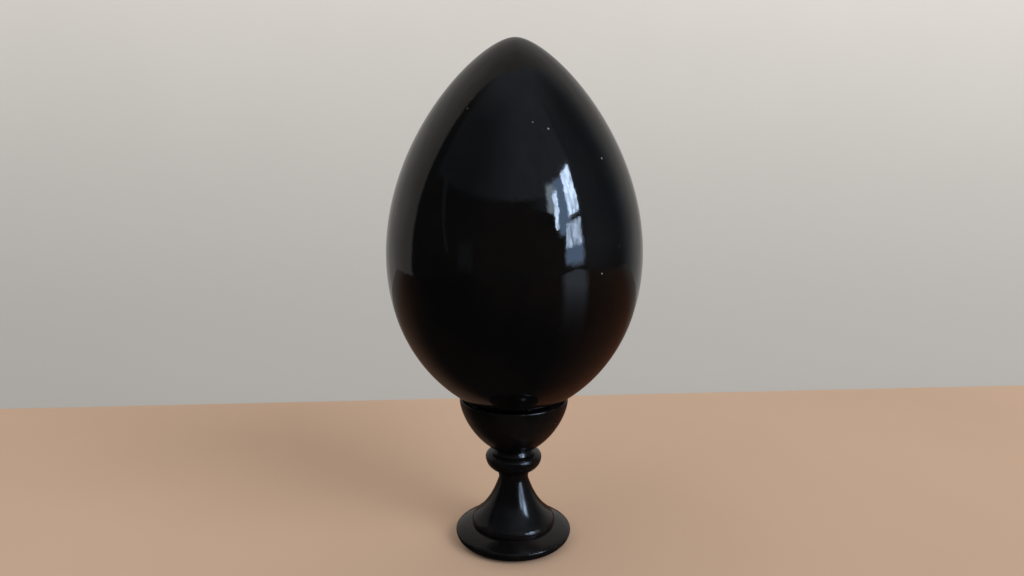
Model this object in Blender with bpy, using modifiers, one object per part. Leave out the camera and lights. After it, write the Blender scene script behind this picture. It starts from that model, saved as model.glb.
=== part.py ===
"""Black lacquered wooden egg standing on a small turned pedestal stand.

Three turned pieces share one upright axis. The stand is a single spindle turning: foot, flared
neck, bead and cup. The egg rests point up in the cup, and a loose dowel peg, half in the cup and
half in the egg, keeps it upright. The egg turns with the peg and lifts off it.

Metres, +Z up, origin at the centre of the stand's foot. Each outline is a list of (radius, height)
points that starts and ends on the axis and runs down the outside of the piece.
"""

import math

import bpy
from mathutils import Vector
from mathutils.geometry import interpolate_bezier

MM = 0.001

# Egg, measured from the lowest point of its rounded base. A pull is the length of a curve's
# handle. The belly's pull follows from the others, so that the curvature is unbroken at the waist.
EGG_RADIUS = 35.1 * MM
EGG_HEIGHT = 103.2 * MM
EGG_WAIST = 45.1 * MM
EGG_TIP_PULL = 9.2 * MM
EGG_SHOULDER_PULL = 32.3 * MM
EGG_BASE_PULL = 12.6 * MM
EGG_BELLY_PULL = EGG_SHOULDER_PULL * math.sqrt(
    (EGG_RADIUS - EGG_BASE_PULL) / (EGG_RADIUS - EGG_TIP_PULL)
)

# Stand, measured from the table. The rim's height follows from its width, because the dish in
# the cup is the egg's own base curve with the clearance added.
RIM_RADIUS = 15.5 * MM
RIM_WIDTH = 0.9 * MM
RIM_ROUNDING = 0.4 * MM
RIM_BAND = 0.2 * MM
CUP_RIM_PULL = 3.2 * MM
CUP_BASE_PULL = 7.9 * MM
CUP_BASE_ANGLE = math.radians(31)
NOTCH_RADIUS = 5.6 * MM
NOTCH_Z = 28.2 * MM
BEAD_RADIUS = 8.1 * MM
BEAD_Z = 25.5 * MM
BEAD_RISE = 1.7 * MM
BEAD_DROP = 3.9 * MM
BEAD_TOP_ANGLE = 80
BEAD_NECK_ANGLE = -84
NECK_RADIUS = 4.2 * MM
NECK_Z = 19.0 * MM
FLARE_NECK_PULL = 4.2 * MM
FLARE_NECK_ANGLE = math.radians(18)
FLARE_FOOT_PULL = 5.2 * MM
FLARE_FOOT_ANGLE = math.radians(50)
STEP_RADIUS = 12.15 * MM
STEP_Z = 5.7 * MM
STEP_ROUNDING = 2.0 * MM
STEP_TOP_ANGLE = 40
STEP_BASE_ANGLE = -12
GROOVE_RADIUS = 11.4 * MM
GROOVE_Z = 5.1 * MM
FOOT_RADIUS = 16.85 * MM
FOOT_WIDEST_Z = 2.9 * MM
FOOT_TOP_PULL = 1.2 * MM
FOOT_EDGE_PULL = 0.8 * MM
BASE_RADIUS = 13.3 * MM

# Dowel peg and the two blind holes that hold it.
PEG_RADIUS = 3.0 * MM
PEG_LENGTH = 18.0 * MM
PEG_CHAMFER = 0.6 * MM
SOCKET_DEPTH = 7.0 * MM
EGG_HOLE_DEPTH = 12.5 * MM
CLEARANCE = 0.3 * MM
HOLE_RADIUS = PEG_RADIUS + CLEARANCE

EGG_Z = 39.1 * MM
SOCKET_FLOOR_Z = EGG_Z - CLEARANCE - SOCKET_DEPTH
PEG_Z = SOCKET_FLOOR_Z + CLEARANCE

# Facets round the axis, and straight pieces along each stretch of an outline.
BODY_STEPS = 48
PEG_STEPS = 24
EGG_UPPER_PIECES = 22
EGG_LOWER_PIECES = 18
CURVE_PIECES = 10
ARC_PIECES = 5
SEAT_PIECES = 6
SEAT_CURVE_PIECES = 60
SHARP_ANGLE = math.radians(35)


def bezier(start, start_handle, end_handle, end, pieces):
    """Points along one cubic curve in the (radius, height) plane, both ends included."""
    knots = [Vector(point) for point in (start, start_handle, end_handle, end)]
    return [tuple(point) for point in interpolate_bezier(*knots, pieces + 1)]


def arc(centre, radius, rise, start, end, pieces):
    """Points along an elliptical arc. Angles are in degrees, 0 outward and 90 upward."""
    points = []
    for i in range(pieces + 1):
        angle = math.radians(start + (end - start) * i / pieces)
        points.append((centre[0] + radius * math.cos(angle), centre[1] + rise * math.sin(angle)))
    return points


def polar(point, length, angle):
    """The point a length away at an angle above outward."""
    return (point[0] + length * math.cos(angle), point[1] + length * math.sin(angle))


def egg_lower_curve(pieces):
    """The egg's outside from its waist down to its lowest point."""
    waist = (EGG_RADIUS, EGG_WAIST)
    belly = (EGG_RADIUS, EGG_WAIST - EGG_BELLY_PULL)
    return bezier(waist, belly, (EGG_BASE_PULL, 0.0), (0.0, 0.0), pieces)


def height_at_radius(curve, radius):
    """Height where a curve that runs inward crosses a radius."""
    for outer, inner in zip(curve, curve[1:]):
        if inner[0] <= radius <= outer[0]:
            share = (radius - inner[0]) / (outer[0] - inner[0])
            return inner[1] + share * (outer[1] - inner[1])
    raise ValueError("radius is off the curve")


def egg_outline():
    """Egg with a blind peg hole up its base."""
    tip = (0.0, EGG_HEIGHT)
    tip_handle = (EGG_TIP_PULL, EGG_HEIGHT)
    shoulder_handle = (EGG_RADIUS, EGG_WAIST + EGG_SHOULDER_PULL)
    upper = bezier(tip, tip_handle, shoulder_handle, (EGG_RADIUS, EGG_WAIST), EGG_UPPER_PIECES)
    lower = egg_lower_curve(EGG_LOWER_PIECES)
    mouth = HOLE_RADIUS + CLEARANCE
    outside = [point for point in lower[1:] if point[0] > mouth + CLEARANCE]
    mouth_z = height_at_radius(lower, mouth)
    hole = [
        (mouth, mouth_z),
        (HOLE_RADIUS, mouth_z + CLEARANCE),
        (HOLE_RADIUS, EGG_HOLE_DEPTH),
        (0.0, EGG_HOLE_DEPTH),
    ]
    return upper + outside + hole


def seat_curve():
    """The egg's base curve moved outward by the clearance, from the belly down to the axis."""
    curve = [Vector(point) for point in egg_lower_curve(SEAT_CURVE_PIECES)]
    seat = []
    for before, point, after in zip(curve, curve[1:], curve[2:]):
        along = (after - before).normalized()
        outward = Vector((-along.y, along.x))
        seat.append(point + CLEARANCE * outward)
    return seat + [Vector((0.0, -CLEARANCE))]


def seat_height(radius):
    """Height of the cup's dish at a radius."""
    return EGG_Z + height_at_radius(seat_curve(), radius)


def rim_height():
    """Height of the flat rim, where the dish has left only the rim's width."""
    return seat_height(RIM_RADIUS - RIM_WIDTH)


def seat_outline():
    """Socket floor, socket wall and the dished seat, out to the rim's inner edge."""
    width = RIM_RADIUS - RIM_WIDTH - HOLE_RADIUS
    radii = [HOLE_RADIUS + width * i / SEAT_PIECES for i in range(SEAT_PIECES + 1)]
    dish = [(radius, seat_height(radius)) for radius in radii]
    return [(0.0, SOCKET_FLOOR_Z), (HOLE_RADIUS, SOCKET_FLOOR_Z)] + dish


def rim_outline():
    """Narrow flat rim with a rounded outer edge."""
    centre = (RIM_RADIUS - RIM_ROUNDING, rim_height() - RIM_ROUNDING)
    return arc(centre, RIM_ROUNDING, RIM_ROUNDING, 90, 0, ARC_PIECES)


def cup_outline():
    """Outside of the cup, from under the rim down to the notch over the bead."""
    start = (RIM_RADIUS, rim_height() - RIM_ROUNDING - RIM_BAND)
    start_handle = (RIM_RADIUS, start[1] - CUP_RIM_PULL)
    end = (NOTCH_RADIUS, NOTCH_Z)
    end_handle = polar(end, CUP_BASE_PULL, CUP_BASE_ANGLE)
    return bezier(start, start_handle, end_handle, end, CURVE_PIECES)


def bead_outline():
    """Bead under the cup: a short upper curve and a longer one down to the neck."""
    crown = (NOTCH_RADIUS, BEAD_Z)
    root = (NECK_RADIUS, BEAD_Z)
    upper = arc(crown, BEAD_RADIUS - NOTCH_RADIUS, BEAD_RISE, BEAD_TOP_ANGLE, 0, ARC_PIECES)
    lower = arc(root, BEAD_RADIUS - NECK_RADIUS, BEAD_DROP, 0, BEAD_NECK_ANGLE, CURVE_PIECES)
    return upper + lower[1:]


def flare_outline():
    """Slim neck that flares down to the top of the step."""
    start = (NECK_RADIUS, NECK_Z)
    start_handle = polar(start, FLARE_NECK_PULL, FLARE_NECK_ANGLE - math.pi / 2)
    end = polar((STEP_RADIUS - STEP_ROUNDING, STEP_Z), STEP_ROUNDING, FLARE_FOOT_ANGLE)
    end_handle = polar(end, FLARE_FOOT_PULL, FLARE_FOOT_ANGLE + math.pi / 2)
    return bezier(start, start_handle, end_handle, end, CURVE_PIECES)


def step_outline():
    """Rounded edge of the step, and the groove where it meets the foot."""
    centre = (STEP_RADIUS - STEP_ROUNDING, STEP_Z)
    edge = arc(centre, STEP_ROUNDING, STEP_ROUNDING, STEP_TOP_ANGLE, STEP_BASE_ANGLE, ARC_PIECES)
    return edge + [(GROOVE_RADIUS, GROOVE_Z)]


def foot_outline():
    """Top of the foot, its rounded outer edge and the flat underside."""
    start = (GROOVE_RADIUS, GROOVE_Z)
    start_handle = (GROOVE_RADIUS + FOOT_TOP_PULL, GROOVE_Z)
    end = (FOOT_RADIUS, FOOT_WIDEST_Z)
    end_handle = (FOOT_RADIUS, FOOT_WIDEST_Z + FOOT_EDGE_PULL)
    top = bezier(start, start_handle, end_handle, end, CURVE_PIECES)
    centre = (BASE_RADIUS, FOOT_WIDEST_Z)
    under = arc(centre, FOOT_RADIUS - BASE_RADIUS, FOOT_WIDEST_Z, 0, -90, ARC_PIECES)
    return top[1:] + under[1:] + [(0.0, 0.0)]


def stand_outline():
    """The whole stand, from the floor of its socket round to the centre of its foot."""
    top = seat_outline() + rim_outline() + cup_outline()
    return top + bead_outline() + flare_outline() + step_outline() + foot_outline()


def peg_outline():
    """Plain dowel with chamfered ends."""
    return [
        (0.0, PEG_LENGTH),
        (PEG_RADIUS - PEG_CHAMFER, PEG_LENGTH),
        (PEG_RADIUS, PEG_LENGTH - PEG_CHAMFER),
        (PEG_RADIUS, PEG_CHAMFER),
        (PEG_RADIUS - PEG_CHAMFER, 0.0),
        (0.0, 0.0),
    ]


def make_material(name, colour, roughness, coat):
    """Principled material for turned wood, bare or under clear lacquer."""
    material = bpy.data.materials.new(name)
    material.use_nodes = True
    shader = material.node_tree.nodes["Principled BSDF"]
    shader.inputs["Base Color"].default_value = (*colour, 1.0)
    shader.inputs["Metallic"].default_value = 0.0
    shader.inputs["Roughness"].default_value = roughness
    shader.inputs["Coat Weight"].default_value = coat
    shader.inputs["Coat Roughness"].default_value = 0.04
    material.diffuse_color = (*colour, 1.0)
    return material


def turned(name, outline, steps, material, collection):
    """Spin an outline about the upright axis into one smooth closed object."""
    profile = bpy.data.meshes.new(name + "_outline")
    edges = [(i, i + 1) for i in range(len(outline) - 1)]
    profile.from_pydata([(radius, 0.0, height) for radius, height in outline], edges, [])
    piece = bpy.data.objects.new(name, profile)
    collection.objects.link(piece)
    screw = piece.modifiers.new("turning", "SCREW")
    screw.axis = "Z"
    screw.angle = 2 * math.pi
    screw.steps = steps
    screw.render_steps = steps
    screw.use_merge_vertices = True
    screw.merge_threshold = 0.01 * MM
    bpy.context.view_layer.update()
    depsgraph = bpy.context.evaluated_depsgraph_get()
    mesh = bpy.data.meshes.new_from_object(piece.evaluated_get(depsgraph))
    mesh.name = name
    mesh.shade_smooth()
    mesh.set_sharp_from_angle(angle=SHARP_ANGLE)
    mesh.materials.append(material)
    piece.modifiers.remove(screw)
    piece.data = mesh
    bpy.data.meshes.remove(profile)
    return piece


def clear_scene():
    """Remove whatever the open file holds."""
    for old in list(bpy.data.objects):
        bpy.data.objects.remove(old, do_unlink=True)


def build():
    """Make the stand, the peg in its cup and the egg over the peg."""
    clear_scene()
    collection = bpy.data.collections.new("egg_on_stand")
    bpy.context.scene.collection.children.link(collection)
    stand_lacquer = make_material("stand_black_lacquer", (0.010, 0.010, 0.011), 0.16, 1.0)
    egg_lacquer = make_material("egg_black_lacquer", (0.008, 0.008, 0.009), 0.12, 1.0)
    bare_wood = make_material("bare_limewood", (0.62, 0.43, 0.25), 0.55, 0.0)
    stand = turned("stand", stand_outline(), BODY_STEPS, stand_lacquer, collection)
    peg = turned("locating_peg", peg_outline(), PEG_STEPS, bare_wood, collection)
    egg = turned("egg", egg_outline(), BODY_STEPS, egg_lacquer, collection)
    peg.parent = stand
    peg.location.z = PEG_Z
    egg.parent = peg
    egg.location.z = EGG_Z - PEG_Z


build()
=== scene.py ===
"""Looks for the black lacquered wooden egg on its small turned pedestal stand.

Three turned pieces share one upright axis: the egg, the dowel peg that locates it and the stand.
Each is a fine mesh turned from the same outline as its CAD node, which it replaces. The lacquer,
the bare wood, the table and the studio are all procedural.

Metres, +Z up, the origin at the centre of the stand's foot, the camera on the -Y side.
"""

import math

import bpy
import numpy as np
from mathutils import Matrix, Vector
from mathutils.geometry import interpolate_bezier


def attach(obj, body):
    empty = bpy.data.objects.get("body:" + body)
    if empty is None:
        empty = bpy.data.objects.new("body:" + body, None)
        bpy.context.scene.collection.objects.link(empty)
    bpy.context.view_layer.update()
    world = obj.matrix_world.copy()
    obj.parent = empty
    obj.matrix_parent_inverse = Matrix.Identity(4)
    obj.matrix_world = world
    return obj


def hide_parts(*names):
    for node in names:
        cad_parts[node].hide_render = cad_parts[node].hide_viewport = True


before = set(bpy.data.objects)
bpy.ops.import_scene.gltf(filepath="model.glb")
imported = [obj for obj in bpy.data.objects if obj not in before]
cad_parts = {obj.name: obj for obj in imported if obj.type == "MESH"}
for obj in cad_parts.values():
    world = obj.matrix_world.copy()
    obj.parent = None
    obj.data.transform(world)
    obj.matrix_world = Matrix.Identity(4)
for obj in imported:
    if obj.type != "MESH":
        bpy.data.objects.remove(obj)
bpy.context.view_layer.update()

MM = 0.001
SCENE = bpy.context.scene

# Egg, measured from the lowest point of its rounded base.
EGG_RADIUS = 35.1 * MM
EGG_HEIGHT = 103.2 * MM
EGG_WAIST = 45.1 * MM
EGG_TIP_PULL = 9.2 * MM
EGG_SHOULDER_PULL = 32.3 * MM
EGG_BASE_PULL = 12.6 * MM
EGG_BELLY_PULL = EGG_SHOULDER_PULL * math.sqrt(
    (EGG_RADIUS - EGG_BASE_PULL) / (EGG_RADIUS - EGG_TIP_PULL)
)

# Stand, measured from the table.
RIM_RADIUS = 15.5 * MM
RIM_WIDTH = 0.9 * MM
RIM_ROUNDING = 0.4 * MM
RIM_BAND = 0.2 * MM
RIM_LIP = 0.18 * MM
CUP_RIM_PULL = 3.2 * MM
CUP_BASE_PULL = 7.9 * MM
CUP_BASE_ANGLE = math.radians(31)
NOTCH_RADIUS = 5.6 * MM
NOTCH_Z = 28.2 * MM
BEAD_RADIUS = 8.1 * MM
BEAD_Z = 25.5 * MM
BEAD_RISE = 1.7 * MM
BEAD_DROP = 3.9 * MM
BEAD_TOP_ANGLE = 80
BEAD_NECK_ANGLE = -84
NECK_RADIUS = 4.2 * MM
NECK_Z = 19.0 * MM
FLARE_NECK_PULL = 4.2 * MM
FLARE_NECK_ANGLE = math.radians(18)
FLARE_FOOT_PULL = 5.2 * MM
FLARE_FOOT_ANGLE = math.radians(50)
STEP_RADIUS = 12.15 * MM
STEP_Z = 5.7 * MM
STEP_ROUNDING = 2.0 * MM
STEP_TOP_ANGLE = 40
STEP_BASE_ANGLE = -12
GROOVE_RADIUS = 11.4 * MM
GROOVE_Z = 5.1 * MM
FOOT_RADIUS = 16.85 * MM
FOOT_WIDEST_Z = 2.9 * MM
FOOT_TOP_PULL = 1.2 * MM
FOOT_EDGE_PULL = 0.8 * MM
BASE_RADIUS = 13.3 * MM
BASE_RINGS = [radius * MM for radius in (12.0, 9.0, 6.0, 3.0, 0.0)]

# Dowel peg and the two blind holes that hold it.
PEG_RADIUS = 3.0 * MM
PEG_LENGTH = 18.0 * MM
PEG_CHAMFER = 0.6 * MM
SOCKET_DEPTH = 7.0 * MM
EGG_HOLE_DEPTH = 12.5 * MM
CLEARANCE = 0.3 * MM
HOLE_RADIUS = PEG_RADIUS + CLEARANCE
PEG_END_RING = 1.2 * MM
PEG_RINGS = [height * MM for height in range(16, 1, -2)]
SOCKET_RINGS = [height * MM for height in (2.0, 4.0, 6.0)]
EGG_HOLE_RINGS = [height * MM for height in (2.5, 5.0, 7.5, 10.0)]

# Small roundings that take the sharpness off a corner.
HOLE_FLOOR_EASE = 0.3 * MM
HOLE_LIP_EASE = 0.12 * MM
SOCKET_LIP_EASE = 0.15 * MM
NOTCH_EASE = 0.12 * MM
GROOVE_EASE = 0.1 * MM
PEG_EASE = 0.15 * MM

EGG_Z = 39.1 * MM
SOCKET_FLOOR_Z = EGG_Z - CLEARANCE - SOCKET_DEPTH
PEG_Z = SOCKET_FLOOR_Z + CLEARANCE

TURNING_STEPS = 192
PEG_STEPS = 96
SHARP_ANGLE = math.radians(32)
SAME_POINT = 1e-7


# ------------------------------------------------------------------ outlines


def bezier(start, start_handle, end_handle, end, pieces):
    """Points along one cubic curve in the (radius, height) plane, both ends included."""
    knots = [Vector(point) for point in (start, start_handle, end_handle, end)]
    return [tuple(point) for point in interpolate_bezier(*knots, pieces + 1)]


def arc(centre, radius, rise, start, end, pieces):
    """Points along an elliptical arc. Angles are in degrees, 0 outward and 90 upward."""
    points = []
    for i in range(pieces + 1):
        angle = math.radians(start + (end - start) * i / pieces)
        points.append((centre[0] + radius * math.cos(angle), centre[1] + rise * math.sin(angle)))
    return points


def polar(point, length, angle):
    """The point a length away at an angle above outward."""
    return (point[0] + length * math.cos(angle), point[1] + length * math.sin(angle))


def eased(before, corner, after, size, pieces=4):
    """A corner rounded over a size: points from before it to after it."""
    corner = Vector(corner)
    first = corner + (Vector(before) - corner).normalized() * size
    last = corner + (Vector(after) - corner).normalized() * size
    points = []
    for i in range(pieces + 1):
        t = i / pieces
        points.append(tuple(first * (1 - t) ** 2 + corner * 2 * t * (1 - t) + last * t**2))
    return points


def egg_lower_curve(pieces):
    """The egg's outside from its waist down to its lowest point."""
    waist = (EGG_RADIUS, EGG_WAIST)
    belly = (EGG_RADIUS, EGG_WAIST - EGG_BELLY_PULL)
    return bezier(waist, belly, (EGG_BASE_PULL, 0.0), (0.0, 0.0), pieces)


def height_at_radius(curve, radius):
    """Height where a curve that runs inward crosses a radius."""
    for outer, inner in zip(curve, curve[1:]):
        if inner[0] <= radius <= outer[0]:
            share = (radius - inner[0]) / (outer[0] - inner[0])
            return inner[1] + share * (outer[1] - inner[1])
    raise ValueError("radius is off the curve")


def egg_outline():
    """Egg, above its own base, as (stretch name, points)."""
    tip = (0.0, EGG_HEIGHT)
    tip_handle = (EGG_TIP_PULL, EGG_HEIGHT)
    shoulder_handle = (EGG_RADIUS, EGG_WAIST + EGG_SHOULDER_PULL)
    upper = bezier(tip, tip_handle, shoulder_handle, (EGG_RADIUS, EGG_WAIST), pieces=110)
    lower = egg_lower_curve(pieces=90)
    mouth = HOLE_RADIUS + CLEARANCE
    outside = [point for point in lower[1:] if point[0] > mouth + CLEARANCE]
    mouth_z = height_at_radius(lower, mouth)
    lip = eased(outside[-1], (mouth, mouth_z), (HOLE_RADIUS, mouth_z + CLEARANCE), HOLE_LIP_EASE)
    wall = [(HOLE_RADIUS, mouth_z + CLEARANCE + 0.02 * MM)]
    wall += [(HOLE_RADIUS, height) for height in EGG_HOLE_RINGS]
    floor_corner = (HOLE_RADIUS, EGG_HOLE_DEPTH)
    wall += eased(wall[-1], floor_corner, (0.0, EGG_HOLE_DEPTH), HOLE_FLOOR_EASE)
    wall += [(0.0, EGG_HOLE_DEPTH)]
    return [("skin", upper + outside + lip), ("bore", wall)]


def seat_curve():
    """The egg's base curve moved outward by the clearance, from the belly down to the axis."""
    curve = [Vector(point) for point in egg_lower_curve(pieces=240)]
    seat = []
    for before, point, after in zip(curve, curve[1:], curve[2:]):
        along = (after - before).normalized()
        seat.append(point + CLEARANCE * Vector((-along.y, along.x)))
    return seat + [Vector((0.0, -CLEARANCE))]


def stand_outline():
    """Stand, from the floor of its socket to the centre of its foot, as (stretch name, points)."""
    seat = seat_curve()

    def dish(radius):
        return (radius, EGG_Z + height_at_radius(seat, radius))

    socket = [(0.0, SOCKET_FLOOR_Z)]
    floor_corner = (HOLE_RADIUS, SOCKET_FLOOR_Z)
    wall_foot = (HOLE_RADIUS, SOCKET_FLOOR_Z + MM)
    socket += eased(socket[0], floor_corner, wall_foot, HOLE_FLOOR_EASE)
    socket += [(HOLE_RADIUS, SOCKET_FLOOR_Z + height) for height in SOCKET_RINGS]
    mouth = dish(HOLE_RADIUS)
    wall_head = (HOLE_RADIUS, mouth[1] - MM)
    mouth_ease = eased(wall_head, mouth, dish(HOLE_RADIUS + MM), SOCKET_LIP_EASE)
    socket += mouth_ease[:3]
    inner = RIM_RADIUS - RIM_WIDTH
    rim_z = dish(inner)[1]
    radii = np.linspace(HOLE_RADIUS + 0.4 * MM, inner - 2 * RIM_LIP, 44)
    cup = mouth_ease[2:] + [dish(radius) for radius in radii]
    cup += eased(dish(inner - RIM_LIP), (inner, rim_z), (RIM_RADIUS, rim_z), RIM_LIP, pieces=5)
    centre = (RIM_RADIUS - RIM_ROUNDING, rim_z - RIM_ROUNDING)
    cup += arc(centre, RIM_ROUNDING, RIM_ROUNDING, 90, 0, pieces=12)
    start = (RIM_RADIUS, rim_z - RIM_ROUNDING - RIM_BAND)
    notch = (NOTCH_RADIUS, NOTCH_Z)
    bowl = bezier(
        start,
        (RIM_RADIUS, start[1] - CUP_RIM_PULL),
        polar(notch, CUP_BASE_PULL, CUP_BASE_ANGLE),
        notch,
        pieces=44,
    )
    crown = (NOTCH_RADIUS, BEAD_Z)
    root = (NECK_RADIUS, BEAD_Z)
    bead = arc(crown, BEAD_RADIUS - NOTCH_RADIUS, BEAD_RISE, BEAD_TOP_ANGLE, 0, pieces=18)
    bead += arc(root, BEAD_RADIUS - NECK_RADIUS, BEAD_DROP, 0, BEAD_NECK_ANGLE, pieces=26)[1:]
    cup += bowl[:-1] + eased(bowl[-2], notch, bead[0], NOTCH_EASE)
    cup += bead[1:]
    neck = (NECK_RADIUS, NECK_Z)
    step_centre = (STEP_RADIUS - STEP_ROUNDING, STEP_Z)
    shoulder = polar(step_centre, STEP_ROUNDING, FLARE_FOOT_ANGLE)
    flare = bezier(
        neck,
        polar(neck, FLARE_NECK_PULL, FLARE_NECK_ANGLE - math.pi / 2),
        polar(shoulder, FLARE_FOOT_PULL, FLARE_FOOT_ANGLE + math.pi / 2),
        shoulder,
        pieces=40,
    )
    cup += flare
    edge = arc(
        step_centre, STEP_ROUNDING, STEP_ROUNDING, STEP_TOP_ANGLE, STEP_BASE_ANGLE, pieces=18
    )
    groove = (GROOVE_RADIUS, GROOVE_Z)
    foot = bezier(
        groove,
        (GROOVE_RADIUS + FOOT_TOP_PULL, GROOVE_Z),
        (FOOT_RADIUS, FOOT_WIDEST_Z + FOOT_EDGE_PULL),
        (FOOT_RADIUS, FOOT_WIDEST_Z),
        pieces=30,
    )
    cup += edge + eased(edge[-1], groove, foot[1], GROOVE_EASE) + foot[1:]
    under_centre = (BASE_RADIUS, FOOT_WIDEST_Z)
    under = arc(under_centre, FOOT_RADIUS - BASE_RADIUS, FOOT_WIDEST_Z, 0, -90, pieces=18)
    cup += under[1:]
    base = [(radius, 0.0) for radius in BASE_RINGS]
    return [("bore", socket), ("skin", cup), ("base", base)]


def peg_outline():
    """Plain dowel with softened chamfers, from its top centre to its bottom centre."""
    top = PEG_LENGTH
    shoulder = (PEG_RADIUS, top - PEG_CHAMFER)
    bevel = (PEG_RADIUS - PEG_CHAMFER, top)
    heel = (PEG_RADIUS, PEG_CHAMFER)
    toe = (PEG_RADIUS - PEG_CHAMFER, 0.0)
    head = [(0.0, top), (PEG_END_RING, top)]
    head += eased((0.0, top), bevel, shoulder, PEG_EASE)
    side = eased(bevel, shoulder, (PEG_RADIUS, 0.0), PEG_EASE)
    side += [(PEG_RADIUS, height) for height in PEG_RINGS]
    side += eased((PEG_RADIUS, top), heel, toe, PEG_EASE)
    foot = eased(heel, toe, (0.0, 0.0), PEG_EASE) + [(PEG_END_RING, 0.0), (0.0, 0.0)]
    return [("end", head), ("side", side), ("end", foot)]


# ------------------------------------------------------------------ turning


def convexity(points):
    """How sharply an outline turns outward at each point, 0 to 1."""
    turn = np.zeros(len(points))
    for i in range(1, len(points) - 1):
        before = Vector(points[i]) - Vector(points[i - 1])
        after = Vector(points[i + 1]) - Vector(points[i])
        reach = (before.length + after.length) / 2
        turn[i] = max(0.0, before.angle_signed(after)) * MM / reach
    return np.clip(turn, 0.0, 1.0)


def turned(name, stretches, steps, base_z, materials, body, node):
    """Turn an outline into a smooth closed mesh that rides on a body and replaces a CAD node."""
    points = []
    kinds = []
    for kind, stretch in stretches:
        for point in stretch:
            if points and (Vector(point) - Vector(points[-1])).length < SAME_POINT:
                continue
            points.append(tuple(point))
            kinds.append(kind)
    edge = convexity(points)
    angles = [2 * math.pi * i / steps for i in range(steps)]
    spokes = [(math.cos(angle), math.sin(angle)) for angle in angles]
    vertices = []
    wear = []
    rings = []
    for (radius, height), sharp in zip(points, edge):
        if radius < SAME_POINT:
            rings.append([len(vertices)])
            vertices.append((0.0, 0.0, base_z + height))
            wear.append(sharp)
        else:
            rings.append(list(range(len(vertices), len(vertices) + steps)))
            for x, y in spokes:
                vertices.append((radius * x, radius * y, base_z + height))
                wear.append(sharp)
    faces = []
    looks = []
    names = list(materials)
    for k, (upper, lower) in enumerate(zip(rings, rings[1:])):
        look = names.index(kinds[k + 1]) if kinds[k + 1] in names else 0
        for i in range(steps):
            j = (i + 1) % steps
            if len(upper) == 1:
                faces.append((upper[0], lower[i], lower[j]))
            elif len(lower) == 1:
                faces.append((upper[i], lower[0], upper[j]))
            else:
                faces.append((upper[i], lower[i], lower[j], upper[j]))
            looks.append(look)
    mesh = bpy.data.meshes.new(name)
    mesh.from_pydata(vertices, [], faces)
    mesh.polygons.foreach_set("material_index", looks)
    for look in names:
        mesh.materials.append(materials[look])
    attribute = mesh.attributes.new("edge", "FLOAT", "POINT")
    attribute.data.foreach_set("value", wear)
    mesh.validate()
    mesh.shade_smooth()
    mesh.set_sharp_from_angle(angle=SHARP_ANGLE)
    piece = bpy.data.objects.new(name, mesh)
    SCENE.collection.objects.link(piece)
    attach(piece, body)
    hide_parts(node)


# ------------------------------------------------------------------ materials


class Nodes:
    """A material's node tree, with short ways to add and join nodes."""

    def __init__(self, name):
        self.material = bpy.data.materials.new(name)
        self.material.use_nodes = True
        self.tree = self.material.node_tree
        self.shader = self.tree.nodes["Principled BSDF"]
        self.place = self.add("ShaderNodeTexCoord").outputs["Object"]

    def add(self, kind, **values):
        node = self.tree.nodes.new(kind)
        for key, value in values.items():
            setattr(node, key, value)
        return node

    def join(self, source, target):
        if hasattr(source, "is_output"):
            self.tree.links.new(source, target)
        else:
            target.default_value = source

    def scaled(self, scale):
        node = self.add("ShaderNodeMapping")
        self.join(self.place, node.inputs["Vector"])
        node.inputs["Scale"].default_value = scale
        return node.outputs["Vector"]

    def noise(self, scale, detail=2.0, roughness=0.5, place=None, distortion=0.0):
        node = self.add("ShaderNodeTexNoise")
        self.join(place or self.place, node.inputs["Vector"])
        node.inputs["Scale"].default_value = scale
        node.inputs["Detail"].default_value = detail
        node.inputs["Roughness"].default_value = roughness
        node.inputs["Distortion"].default_value = distortion
        return node.outputs["Fac"]

    def cells(self, scale):
        node = self.add("ShaderNodeTexVoronoi")
        self.join(self.place, node.inputs["Vector"])
        node.inputs["Scale"].default_value = scale
        return node.outputs["Distance"], node.outputs["Color"]

    def span(self, value, low, high, out_low=0.0, out_high=1.0):
        """Smooth step from out_low, where the value is low, to out_high, where it is high."""
        node = self.add("ShaderNodeMapRange", interpolation_type="SMOOTHSTEP")
        self.join(value, node.inputs["Value"])
        node.inputs["From Min"].default_value = low
        node.inputs["From Max"].default_value = high
        node.inputs["To Min"].default_value = out_low
        node.inputs["To Max"].default_value = out_high
        return node.outputs["Result"]

    def math(self, operation, a, b=0.0, clamp=False):
        node = self.add("ShaderNodeMath", operation=operation, use_clamp=clamp)
        self.join(a, node.inputs[0])
        self.join(b, node.inputs[1])
        return node.outputs[0]

    def mix(self, share, a, b):
        node = self.add("ShaderNodeMix", data_type="RGBA")
        self.join(share, node.inputs["Factor"])
        sockets = [s for s in node.inputs if s.type == "RGBA"]
        for value, socket in ((a, sockets[0]), (b, sockets[1])):
            self.join((*value, 1.0) if isinstance(value, tuple) else value, socket)
        return [s for s in node.outputs if s.type == "RGBA"][0]

    def attribute(self, name):
        return self.add("ShaderNodeAttribute", attribute_name=name).outputs["Fac"]

    def axes(self):
        node = self.add("ShaderNodeSeparateXYZ")
        self.join(self.place, node.inputs[0])
        return node.outputs

    def bump(self, height, strength, distance, normal=None):
        node = self.add("ShaderNodeBump")
        node.inputs["Strength"].default_value = strength
        node.inputs["Distance"].default_value = distance
        self.join(height, node.inputs["Height"])
        if normal is not None:
            self.join(normal, node.inputs["Normal"])
        return node.outputs["Normal"]

    def surface(self, colour, roughness, normal, **uniform):
        self.join(colour, self.shader.inputs["Base Color"])
        self.join(roughness, self.shader.inputs["Roughness"])
        self.join(normal, self.shader.inputs["Normal"])
        for key, value in uniform.items():
            self.shader.inputs[key.replace("_", " ")].default_value = value
        return self.material


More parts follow.
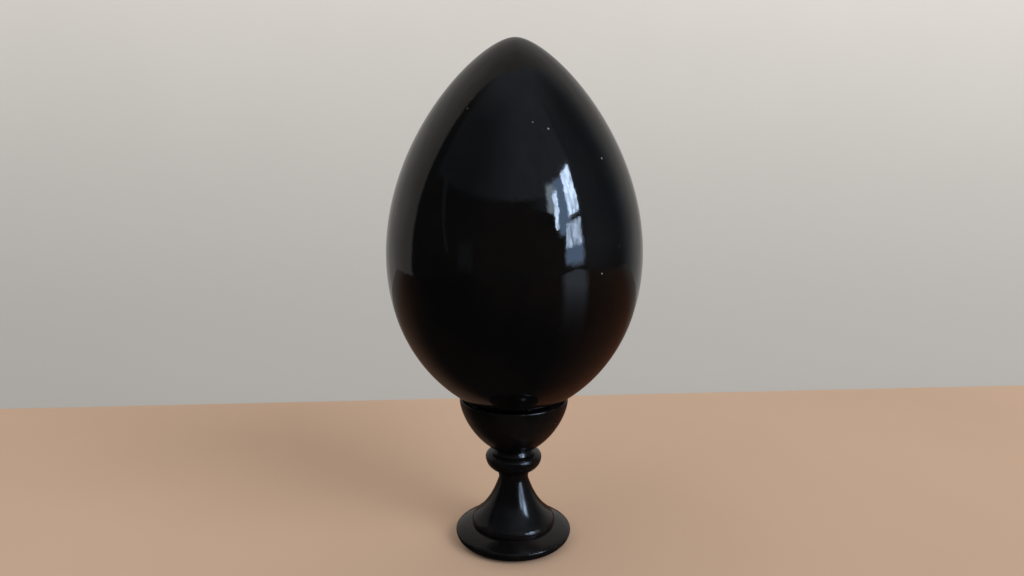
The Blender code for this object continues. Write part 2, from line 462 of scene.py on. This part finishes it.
def egg_lacquer():
    """Deep polished black: near-flawless, a little wavy, with stray dust and faint hazy patches."""
    n = Nodes("egg_black_lacquer")
    depth = n.noise(38.0, 3.0, 0.55)
    colour = n.mix(n.span(depth, 0.35, 0.7), (0.0016, 0.0016, 0.0019), (0.0040, 0.0034, 0.0031))
    spots, ids = n.cells(220.0)
    picked = n.span(ids, 0.65, 0.67)
    speck = n.math("MULTIPLY", n.span(spots, 0.075, 0.04), picked)
    colour = n.mix(n.math("MULTIPLY", speck, 0.4), colour, (0.35, 0.35, 0.34))
    haze = n.span(n.noise(55.0, 4.0, 0.6, distortion=0.4), 0.35, 0.75, 0.035, 0.085)
    rough = n.math("ADD", haze, n.math("MULTIPLY", speck, 0.4))
    wave = n.noise(60.0, 1.0, 0.4)
    peel = n.noise(620.0, 2.0, 0.5)
    normal = n.bump(wave, 0.25, 0.0002)
    normal = n.bump(peel, 0.36, 0.00005, normal)
    normal = n.bump(speck, 0.5, 0.00003, normal)
    return n.surface(
        colour,
        rough,
        normal,
        IOR=1.5,
        Specular_IOR_Level=0.5,
        Coat_Weight=0.15,
        Coat_Roughness=0.02,
        Coat_IOR=1.5,
    )


def stand_lacquer():
    """Brushed black lacquer over turned wood: fine lathe rings, a little worn at its edges."""
    n = Nodes("stand_black_lacquer")
    depth = n.noise(90.0, 3.0, 0.55)
    colour = n.mix(n.span(depth, 0.35, 0.7), (0.0022, 0.0022, 0.0026), (0.0065, 0.0055, 0.005))
    edge = n.attribute("edge")
    breakup = n.noise(420.0, 4.0, 0.65)
    wear = n.math("MULTIPLY", n.span(edge, 0.25, 0.8), n.span(breakup, 0.48, 0.66))
    colour = n.mix(n.math("MULTIPLY", wear, 0.3), colour, (0.012, 0.009, 0.0075))
    spots, ids = n.cells(420.0)
    speck = n.math("MULTIPLY", n.span(spots, 0.06, 0.035), n.span(ids, 0.83, 0.85))
    colour = n.mix(n.math("MULTIPLY", speck, 0.4), colour, (0.28, 0.27, 0.25))
    haze = n.span(n.noise(160.0, 4.0, 0.6), 0.3, 0.75, 0.14, 0.28)
    rough = n.math("ADD", haze, n.math("MULTIPLY", wear, 0.18))
    rings = n.noise(1.0, 2.0, 0.6, place=n.scaled((25.0, 25.0, 2600.0)))
    peel = n.noise(900.0, 2.0, 0.5)
    normal = n.bump(rings, 0.10, 0.00006)
    normal = n.bump(peel, 0.10, 0.00005, normal)
    normal = n.bump(n.math("MULTIPLY", wear, -1.0), 0.4, 0.00003, normal)
    return n.surface(
        colour,
        rough,
        normal,
        IOR=1.5,
        Specular_IOR_Level=0.3,
        Coat_Weight=0.1,
        Coat_Roughness=0.08,
        Coat_IOR=1.5,
    )


def bare_wood(name, pale, dark, dirt):
    """Bare limewood: fine straight grain along the height, small pores and a little grime."""
    n = Nodes(name)
    grain = n.noise(1.0, 4.0, 0.6, place=n.scaled((900.0, 900.0, 40.0)))
    band = n.noise(1.0, 2.0, 0.5, place=n.scaled((330.0, 330.0, 9.0)), distortion=0.6)
    colour = n.mix(n.span(grain, 0.3, 0.7), pale, dark)
    colour = n.mix(n.math("MULTIPLY", n.span(band, 0.45, 0.75), 0.45), colour, dark)
    pores = n.noise(1.0, 1.0, 0.5, place=n.scaled((5200.0, 5200.0, 420.0)))
    pits = n.span(pores, 0.64, 0.72)
    colour = n.mix(n.math("MULTIPLY", pits, 0.4), colour, (0.16, 0.09, 0.045))
    grime = n.span(n.noise(210.0, 4.0, 0.6), 0.5, 0.8)
    colour = n.mix(n.math("MULTIPLY", grime, dirt), colour, (0.09, 0.06, 0.04))
    fibre = n.noise(1.0, 3.0, 0.5, place=n.scaled((700.0, 700.0, 60.0)))
    rough = n.span(fibre, 0.3, 0.7, 0.5, 0.72)
    normal = n.bump(grain, 0.35, 0.00006)
    normal = n.bump(n.math("MULTIPLY", pits, -1.0), 0.4, 0.00005, normal)
    return n.surface(colour, rough, normal, IOR=1.5, Specular_IOR_Level=0.35)


# ------------------------------------------------------------------ pieces

egg_skin = egg_lacquer()
stand_skin = stand_lacquer()
peg_wood = bare_wood("peg_limewood", (0.66, 0.47, 0.28), (0.50, 0.32, 0.17), 0.25)
bore_wood = bare_wood("bored_limewood", (0.55, 0.38, 0.22), (0.38, 0.24, 0.13), 0.5)

turned(
    "egg_turned",
    egg_outline(),
    TURNING_STEPS,
    EGG_Z,
    {"skin": egg_skin, "bore": bore_wood},
    "egg",
    "egg",
)
turned(
    "stand_turned",
    stand_outline(),
    TURNING_STEPS,
    0.0,
    {"skin": stand_skin, "bore": bore_wood},
    "stand",
    "stand",
)
turned(
    "peg_turned",
    peg_outline(),
    PEG_STEPS,
    PEG_Z,
    {"side": peg_wood},
    "peg",
    "locating_peg",
)


# ------------------------------------------------------------------ stage


AIM = Vector((0.0, 0.0, 0.08))
CARD_DISTANCE = 2.0
SHELL_DISTANCE = 4.0

# Brightness of what the lacquer reflects.
DIM_ROOM = 0.022
TOP_GLOW = 0.20
CURTAIN_GLOW = 3.4
BETWEEN_GLOW = 2.2
SILL_GLOW = 2.0
CHAIR_GLOW = 0.04
BRIGHT_PANE = 27.0
LOWER_PANE = 14.0
FOLD_DARKENING = 0.8

COOL_ROOM = (0.80, 0.98, 1.18)
WARM_WALLS = (1.04, 1.0, 0.95)
WINDOW_BLUE = (0.60, 0.92, 1.45)
PANE_BLUE = (0.66, 0.84, 1.12)

# Colours of the reflected desk, all painted light: a shaded front, lit sides, a dimmer far part,
# paler behind and a painted sheen of the window.
DESK_SHADED_FRONT = (0.016, 0.015, 0.015)
DESK_RIGHT = (0.125, 0.05, 0.025)
DESK_LEFT = (0.15, 0.09, 0.06)
DESK_FAR = (0.07, 0.06, 0.055)
DESK_BEHIND = (0.20, 0.185, 0.17)
DESK_SHEEN = (0.42, 0.50, 0.62)


def plain(name, colour, roughness, variation, low=None):
    """Matt stage material with a faint mottle; given low, painted shade darkens it toward that
    colour low down.
    """
    n = Nodes(name)
    mottle = n.span(n.noise(6.0, 3.0, 0.5), 0.3, 0.7)
    darker = tuple(channel * (1 - variation) for channel in colour)
    shade = n.mix(mottle, colour, darker)
    if low is not None:
        # Painted shade: darker toward the bottom, where less light from above falls.
        shade = n.mix(n.span(n.axes()["Z"], 0.75, -0.15), shade, low)
    grain = n.bump(n.noise(900.0), 0.02, 0.0001)
    return n.surface(shade, roughness, grain, Specular_IOR_Level=0.0)


def glowing(n, colour, strength):
    """Turn a node tree into plain emission, which lights nothing but what reflects it."""
    light = n.add("ShaderNodeEmission")
    n.join((*colour, 1.0) if isinstance(colour, tuple) else colour, light.inputs["Color"])
    n.join(strength, light.inputs["Strength"])
    out = next(node for node in n.tree.nodes if node.type == "OUTPUT_MATERIAL")
    n.tree.links.new(light.outputs[0], out.inputs["Surface"])
    n.tree.nodes.remove(n.shader)
    n.material.cycles.emission_sampling = "NONE"
    return n.material


def staged(name, vertices, faces, material):
    """A piece of the studio, which is no part of the object."""
    mesh = bpy.data.meshes.new(name)
    mesh.from_pydata(vertices, [], faces)
    mesh.materials.append(material)
    piece = bpy.data.objects.new(name, mesh)
    SCENE.collection.objects.link(piece)
    return piece


def only_reflected(piece):
    """A studio card: the lacquer reflects it, and nothing else sees it."""
    piece.visible_camera = False
    piece.visible_diffuse = False
    piece.visible_transmission = False
    piece.visible_volume_scatter = False
    piece.visible_shadow = False
    return piece


def toward(azimuth, elevation):
    """Unit vector from the object. Azimuth 0 is the camera's side, and 90 is to its right."""
    azimuth, elevation = math.radians(azimuth), math.radians(elevation)
    flat = math.cos(elevation)
    return Vector((math.sin(azimuth) * flat, -math.cos(azimuth) * flat, math.sin(elevation)))


def card(name, corners, material, pieces=10):
    """Curved four-cornered card. Each corner is (azimuth, elevation): lower left, lower right,
    upper right, upper left."""
    low_left, low_right, high_right, high_left = (np.array(corner, float) for corner in corners)
    vertices = []
    for v in np.linspace(0, 1, pieces + 1):
        left = low_left * (1 - v) + high_left * v
        right = low_right * (1 - v) + high_right * v
        for u in np.linspace(0, 1, pieces + 1):
            vertices.append(toward(*(left * (1 - u) + right * u)) * CARD_DISTANCE)
    faces = []
    for row in range(pieces):
        for column in range(pieces):
            first = row * (pieces + 1) + column
            faces.append((first, first + 1, first + pieces + 2, first + pieces + 1))
    piece = only_reflected(staged(name, vertices, faces, material))
    piece.location = AIM


def directions(n):
    """Azimuth and elevation in degrees, from the object, at each point of a card."""
    unit = n.add("ShaderNodeVectorMath", operation="NORMALIZE")
    n.join(n.place, unit.inputs[0])
    split = n.add("ShaderNodeSeparateXYZ")
    n.join(unit.outputs[0], split.inputs[0])
    back = n.math("MULTIPLY", split.outputs["Y"], -1.0)
    azimuth = n.math("DEGREES", n.math("ARCTAN2", split.outputs["X"], back))
    elevation = n.math("DEGREES", n.math("ARCSINE", split.outputs["Z"]))
    return azimuth, elevation


def blend(n, share, a, b):
    """Value a where share is 0 and value b where it is 1."""
    node = n.add("ShaderNodeMix", data_type="FLOAT")
    n.join(share, node.inputs["Factor"])
    n.join(a, node.inputs["A"])
    n.join(b, node.inputs["B"])
    return node.outputs["Result"]


def opening(n, azimuth, elevation, left, right, low, high, blur):
    """Soft-edged rectangle of directions: 1 inside it, 0 outside, fading over a blur."""
    past_left = n.span(azimuth, left - blur, left)
    past_low = n.span(elevation, low - blur, low)
    across = n.math("MULTIPLY", past_left, n.span(azimuth, right + blur, right))
    upright = n.math("MULTIPLY", past_low, n.span(elevation, high + blur, high))
    return n.math("MULTIPLY", across, upright)


def room_glow():
    """The room as the lacquer sees it: pale walls behind, bluish ceiling, dim in front.

    Its brightness is set by azimuth and elevation, in degrees.
    """
    n = Nodes("room_glow")
    azimuth, elevation = directions(n)

    # In front, a dim room under a ceiling that is brighter, and reaches lower, on the right.
    brighter = n.span(azimuth, -50, 20, 0.065, 0.23)
    ceiling = n.math("ADD", brighter, n.span(azimuth, 55, 90, 0.0, -0.07))
    lower = n.math("MULTIPLY", n.span(azimuth, 8, 40), n.span(elevation, 5, 28))
    above = n.math("MAXIMUM", n.span(elevation, 26.0, 29.5), lower)
    front = blend(n, above, DIM_ROOM, ceiling)

    # Right of the window a paler side, darker low down. Far left, a dark upright strip.
    paler = n.span(azimuth, 68, 100, 0.13, 0.065)
    side = n.math("MULTIPLY", paler, n.span(elevation, -12, 6, 0.4, 1.0))
    front = blend(n, n.span(azimuth, 61, 66), front, side)
    front = blend(n, n.span(azimuth, -84, -90), front, DIM_ROOM)

    # Pale walls to the left, right and behind, and an even glow overhead.
    left_wall = n.span(azimuth, -97.0, -100.5)
    right_wall = n.span(azimuth, 100, 134)
    walls = n.math("MAXIMUM", left_wall, right_wall)
    wall = n.span(n.math("ABSOLUTE", azimuth), 98, 165, 0.25, 0.36)
    light = blend(n, walls, front, wall)
    light = blend(n, n.span(elevation, 52, 82), light, TOP_GLOW)
    mottle = n.span(n.noise(1.1, 3.0, 0.55), 0.3, 0.7, 0.92, 1.08)
    light = n.math("MULTIPLY", light, mottle)

    # Round the window panes: lit curtain, the gap between the panes and the sill. Left, a chair.
    curtain = opening(n, azimuth, elevation, 33, 38, 22, 31, blur=4.0)
    light = blend(n, curtain, light, CURTAIN_GLOW)
    between = opening(n, azimuth, elevation, 41, 50, 11, 33, blur=2.5)
    light = blend(n, between, light, BETWEEN_GLOW)
    sill = opening(n, azimuth, elevation, 46, 59, -2, 5, blur=4.0)
    light = blend(n, sill, light, SILL_GLOW)
    chair = opening(n, azimuth, elevation, -46, -38, -4, 4, blur=5.0)
    light = n.math("ADD", light, n.math("MULTIPLY", chair, CHAIR_GLOW))

    colour = n.mix(walls, COOL_ROOM, WARM_WALLS)
    colour = n.mix(n.math("MAXIMUM", between, sill), colour, WINDOW_BLUE)
    return glowing(n, colour, light)


def pane_glow(name, strength):
    """A bright window pane behind a thin hanging curtain: soft upright folds."""
    n = Nodes(name)
    azimuth, elevation = directions(n)
    join = n.add("ShaderNodeCombineXYZ")
    n.join(n.math("MULTIPLY", azimuth, 0.55), join.inputs["X"])
    n.join(n.math("MULTIPLY", elevation, 0.12), join.inputs["Y"])
    folds = n.noise(1.0, 3.0, 0.7, place=join.outputs[0], distortion=0.4)
    light = n.span(folds, 0.3, 0.68, strength * (1 - FOLD_DARKENING), strength)
    return glowing(n, PANE_BLUE, light)


def even_glow(name, colour, strength):
    """The same glow all over a card."""
    return glowing(Nodes(name), colour, strength)


def desk_glow():
    """The desk as the lacquer sees it, in painted light: lit red-brown beside it, painted shade in
    front, a painted sheen of the window.
    """
    n = Nodes("desk_glow")
    axes = n.axes()
    back = n.math("MULTIPLY", axes["Y"], -1.0)
    azimuth = n.math("DEGREES", n.math("ARCTAN2", axes["X"], back))
    square = n.math("ADD", n.math("POWER", axes["X"], 2.0), n.math("POWER", axes["Y"], 2.0))
    reach = n.math("SQRT", square)
    # Painted light: the desk lit beside the object, with painted shade in front.
    right = n.span(azimuth, 35, 115)
    left = n.span(azimuth, -80, -125)
    lit = n.math("ADD", n.math("MULTIPLY", right, 0.8), n.math("MULTIPLY", left, 0.75), clamp=True)
    colour = n.mix(lit, DESK_SHADED_FRONT, n.mix(left, DESK_RIGHT, DESK_LEFT))
    far = n.math("MULTIPLY", n.span(reach, 0.28, 0.62), lit)
    colour = n.mix(far, colour, DESK_FAR)
    behind = n.math("MULTIPLY", n.span(axes["Y"], 0.09, 0.24), 0.8)
    colour = n.mix(behind, colour, DESK_BEHIND)
    # Painted reflection: a sheen of the window across the desk on its right.
    beam = n.math("MULTIPLY", n.span(azimuth, 37, 45), n.span(azimuth, 66, 58))
    sheen = n.math("MULTIPLY", beam, n.span(reach, 0.08, 0.42))
    colour = n.mix(sheen, colour, DESK_SHEEN)
    return glowing(n, colour, 1.0)


def room_shell(columns=48, rows=24):
    """Sphere all round the object, for the room's glow."""
    vertices = [toward(0, -90) * SHELL_DISTANCE]
    for row in range(1, rows):
        for column in range(columns):
            way = toward(360 * column / columns, 180 * row / rows - 90)
            vertices.append(way * SHELL_DISTANCE)
    vertices.append(toward(0, 90) * SHELL_DISTANCE)
    last = len(vertices) - 1
    faces = []
    for column in range(columns):
        beside = (column + 1) % columns
        faces.append((0, 1 + beside, 1 + column))
        top = last - columns
        faces.append((last, top + column, top + beside))
        for row in range(rows - 2):
            first = 1 + row * columns
            upper = first + columns
            faces.append((first + column, first + beside, upper + beside, upper + column))
    shell = only_reflected(staged("room_shell", vertices, faces, room_glow()))
    shell.location = AIM


def rectangle(left, right, first, last):
    """Four corners in order round a rectangle, from the first edge to the last."""
    return [(left, first), (right, first), (right, last), (left, last)]


# The table ends a hand's width behind the stand, at a slight angle, and a pale wall is beyond it.
TABLE_BACK = 0.123
TABLE_TURN = math.radians(4.7)
TABLE_REACH = 1.8
TABLE_THICKNESS = 0.02


def table_corner(x, y):
    """A corner of the table, turned about the middle of its back edge."""
    corner = Matrix.Rotation(TABLE_TURN, 3, "Z") @ Vector((x, y - TABLE_BACK, 0.0))
    return (corner.x, corner.y + TABLE_BACK)


table_corners = [
    table_corner(x, y)
    for x, y in rectangle(-TABLE_REACH, TABLE_REACH, TABLE_BACK, -TABLE_REACH)
]
table = staged(
    "table",
    [(x, y, z) for z in (0.0, -TABLE_THICKNESS) for x, y in table_corners],
    [(3, 2, 1, 0), (4, 5, 6, 7), (0, 1, 5, 4), (1, 2, 6, 5), (2, 3, 7, 6), (3, 0, 4, 7)],
    plain("table_pale", (0.47, 0.33, 0.24), roughness=0.7, variation=0.05),
)
table.visible_glossy = False

WALL_Y = 0.75
WALL_REACH = 5
WALL_LOW = -2
WALL_HIGH = 3
# The wall's low colour is painted shade: the wall darkens toward the table.
wall = staged(
    "wall",
    [(x, WALL_Y, z) for x, z in rectangle(-WALL_REACH, WALL_REACH, WALL_LOW, WALL_HIGH)],
    [(0, 1, 2, 3)],
    plain("wall_pale", (0.97, 0.93, 0.88), roughness=0.9, variation=0.04, low=(0.50, 0.48, 0.45)),
)
wall.visible_glossy = False

# The desk that the lacquer reflects, in place of the table: a glowing card painted with the desk's
# light and shade.
DESK_CORNERS = [(-0.42, 0.24), (0.6, 0.22), (0.6, -0.45), (-0.42, -0.45)]
DESK_Z = 0.00002
only_reflected(
    staged(
        "desk_reflected",
        [(x, y, DESK_Z) for x, y in DESK_CORNERS],
        [(3, 2, 1, 0)],
        desk_glow(),
    )
)
room_shell()
bright = pane_glow("window_glow", BRIGHT_PANE)
middling = pane_glow("window_lower_glow", LOWER_PANE)
dim = even_glow("frame_glow", (0.8, 1.0, 1.1), 0.07)
card("window_upper", [(49, 17.5), (61, 19), (61.5, 38), (50, 36)], bright)
card("window_lower", [(44, 4), (60, 5), (61, 16), (46, 14)], middling)
card("window_left", [(36, 12.5), (39.5, 13), (41, 30), (37, 29)], bright)
card("door_frame", [(-60, 1), (-57, 1), (-72, 30), (-76, 28)], dim)

# The phone and hands that took the photo: a dim patch close to the camera.
PHOTOGRAPHER_Y = -0.235
only_reflected(
    staged(
        "photographer",
        [(x, PHOTOGRAPHER_Y, z) for x, z in rectangle(-0.13, 0.16, 0.06, 0.19)],
        [(0, 1, 2, 3)],
        even_glow("photographer_glow", (1.0, 1.0, 1.0), 0.02),
    )
)

WORLD_COLOUR = (0.80, 0.80, 0.80, 1.0)
WORLD_STRENGTH = 0.68

world = bpy.data.worlds.new("studio")
world.use_nodes = True
backdrop = world.node_tree.nodes["Background"]
backdrop.inputs["Color"].default_value = WORLD_COLOUR
backdrop.inputs["Strength"].default_value = WORLD_STRENGTH
SCENE.world = world
world.cycles_visibility.glossy = False


LIGHT_DISTANCE = 3.2


def soft_light(name, azimuth, elevation, size, power, colour):
    """Large square area light aimed at the object, not seen in the lacquer."""
    data = bpy.data.lights.new(name, "AREA")
    data.shape = "SQUARE"
    data.size = size
    data.energy = power
    data.color = colour
    light = bpy.data.objects.new(name, data)
    way = toward(azimuth, elevation)
    light.location = AIM + way * LIGHT_DISTANCE
    light.rotation_mode = "QUATERNION"
    light.rotation_quaternion = way.to_track_quat("Z", "Y")
    light.visible_camera = False
    light.visible_glossy = False
    SCENE.collection.objects.link(light)


soft_light("window_light", 50, 30, size=2.0, power=78.0, colour=(0.95, 0.98, 1.0))
soft_light("room_light", -60, 55, size=2.8, power=22.0, colour=(1.0, 0.98, 0.95))


# ------------------------------------------------------------------ camera

CAMERA_SENSOR = 36.0
CAMERA_LENS = 27.70
CAMERA_BACK = 0.2153
CAMERA_Z = 0.1190
CAMERA_PITCH = 11.5
CAMERA_YAW = 0.167
CAMERA_ROLL = 0.2
CAMERA_NEAREST = 0.005

camera_data = bpy.data.cameras.new("camera")
camera_data.sensor_width = CAMERA_SENSOR
camera_data.sensor_fit = "HORIZONTAL"
camera_data.lens = CAMERA_LENS
camera_data.clip_start = CAMERA_NEAREST
camera = bpy.data.objects.new("camera", camera_data)
SCENE.collection.objects.link(camera)
camera.matrix_world = (
    Matrix.Translation((0.0, -CAMERA_BACK, CAMERA_Z))
    @ Matrix.Rotation(math.radians(CAMERA_YAW), 4, "Z")
    @ Matrix.Rotation(math.radians(90 - CAMERA_PITCH), 4, "X")
    @ Matrix.Rotation(math.radians(CAMERA_ROLL), 4, "Z")
)
SCENE.camera = camera

SCENE.view_settings.view_transform = "Standard"
SCENE.view_settings.look = "None"
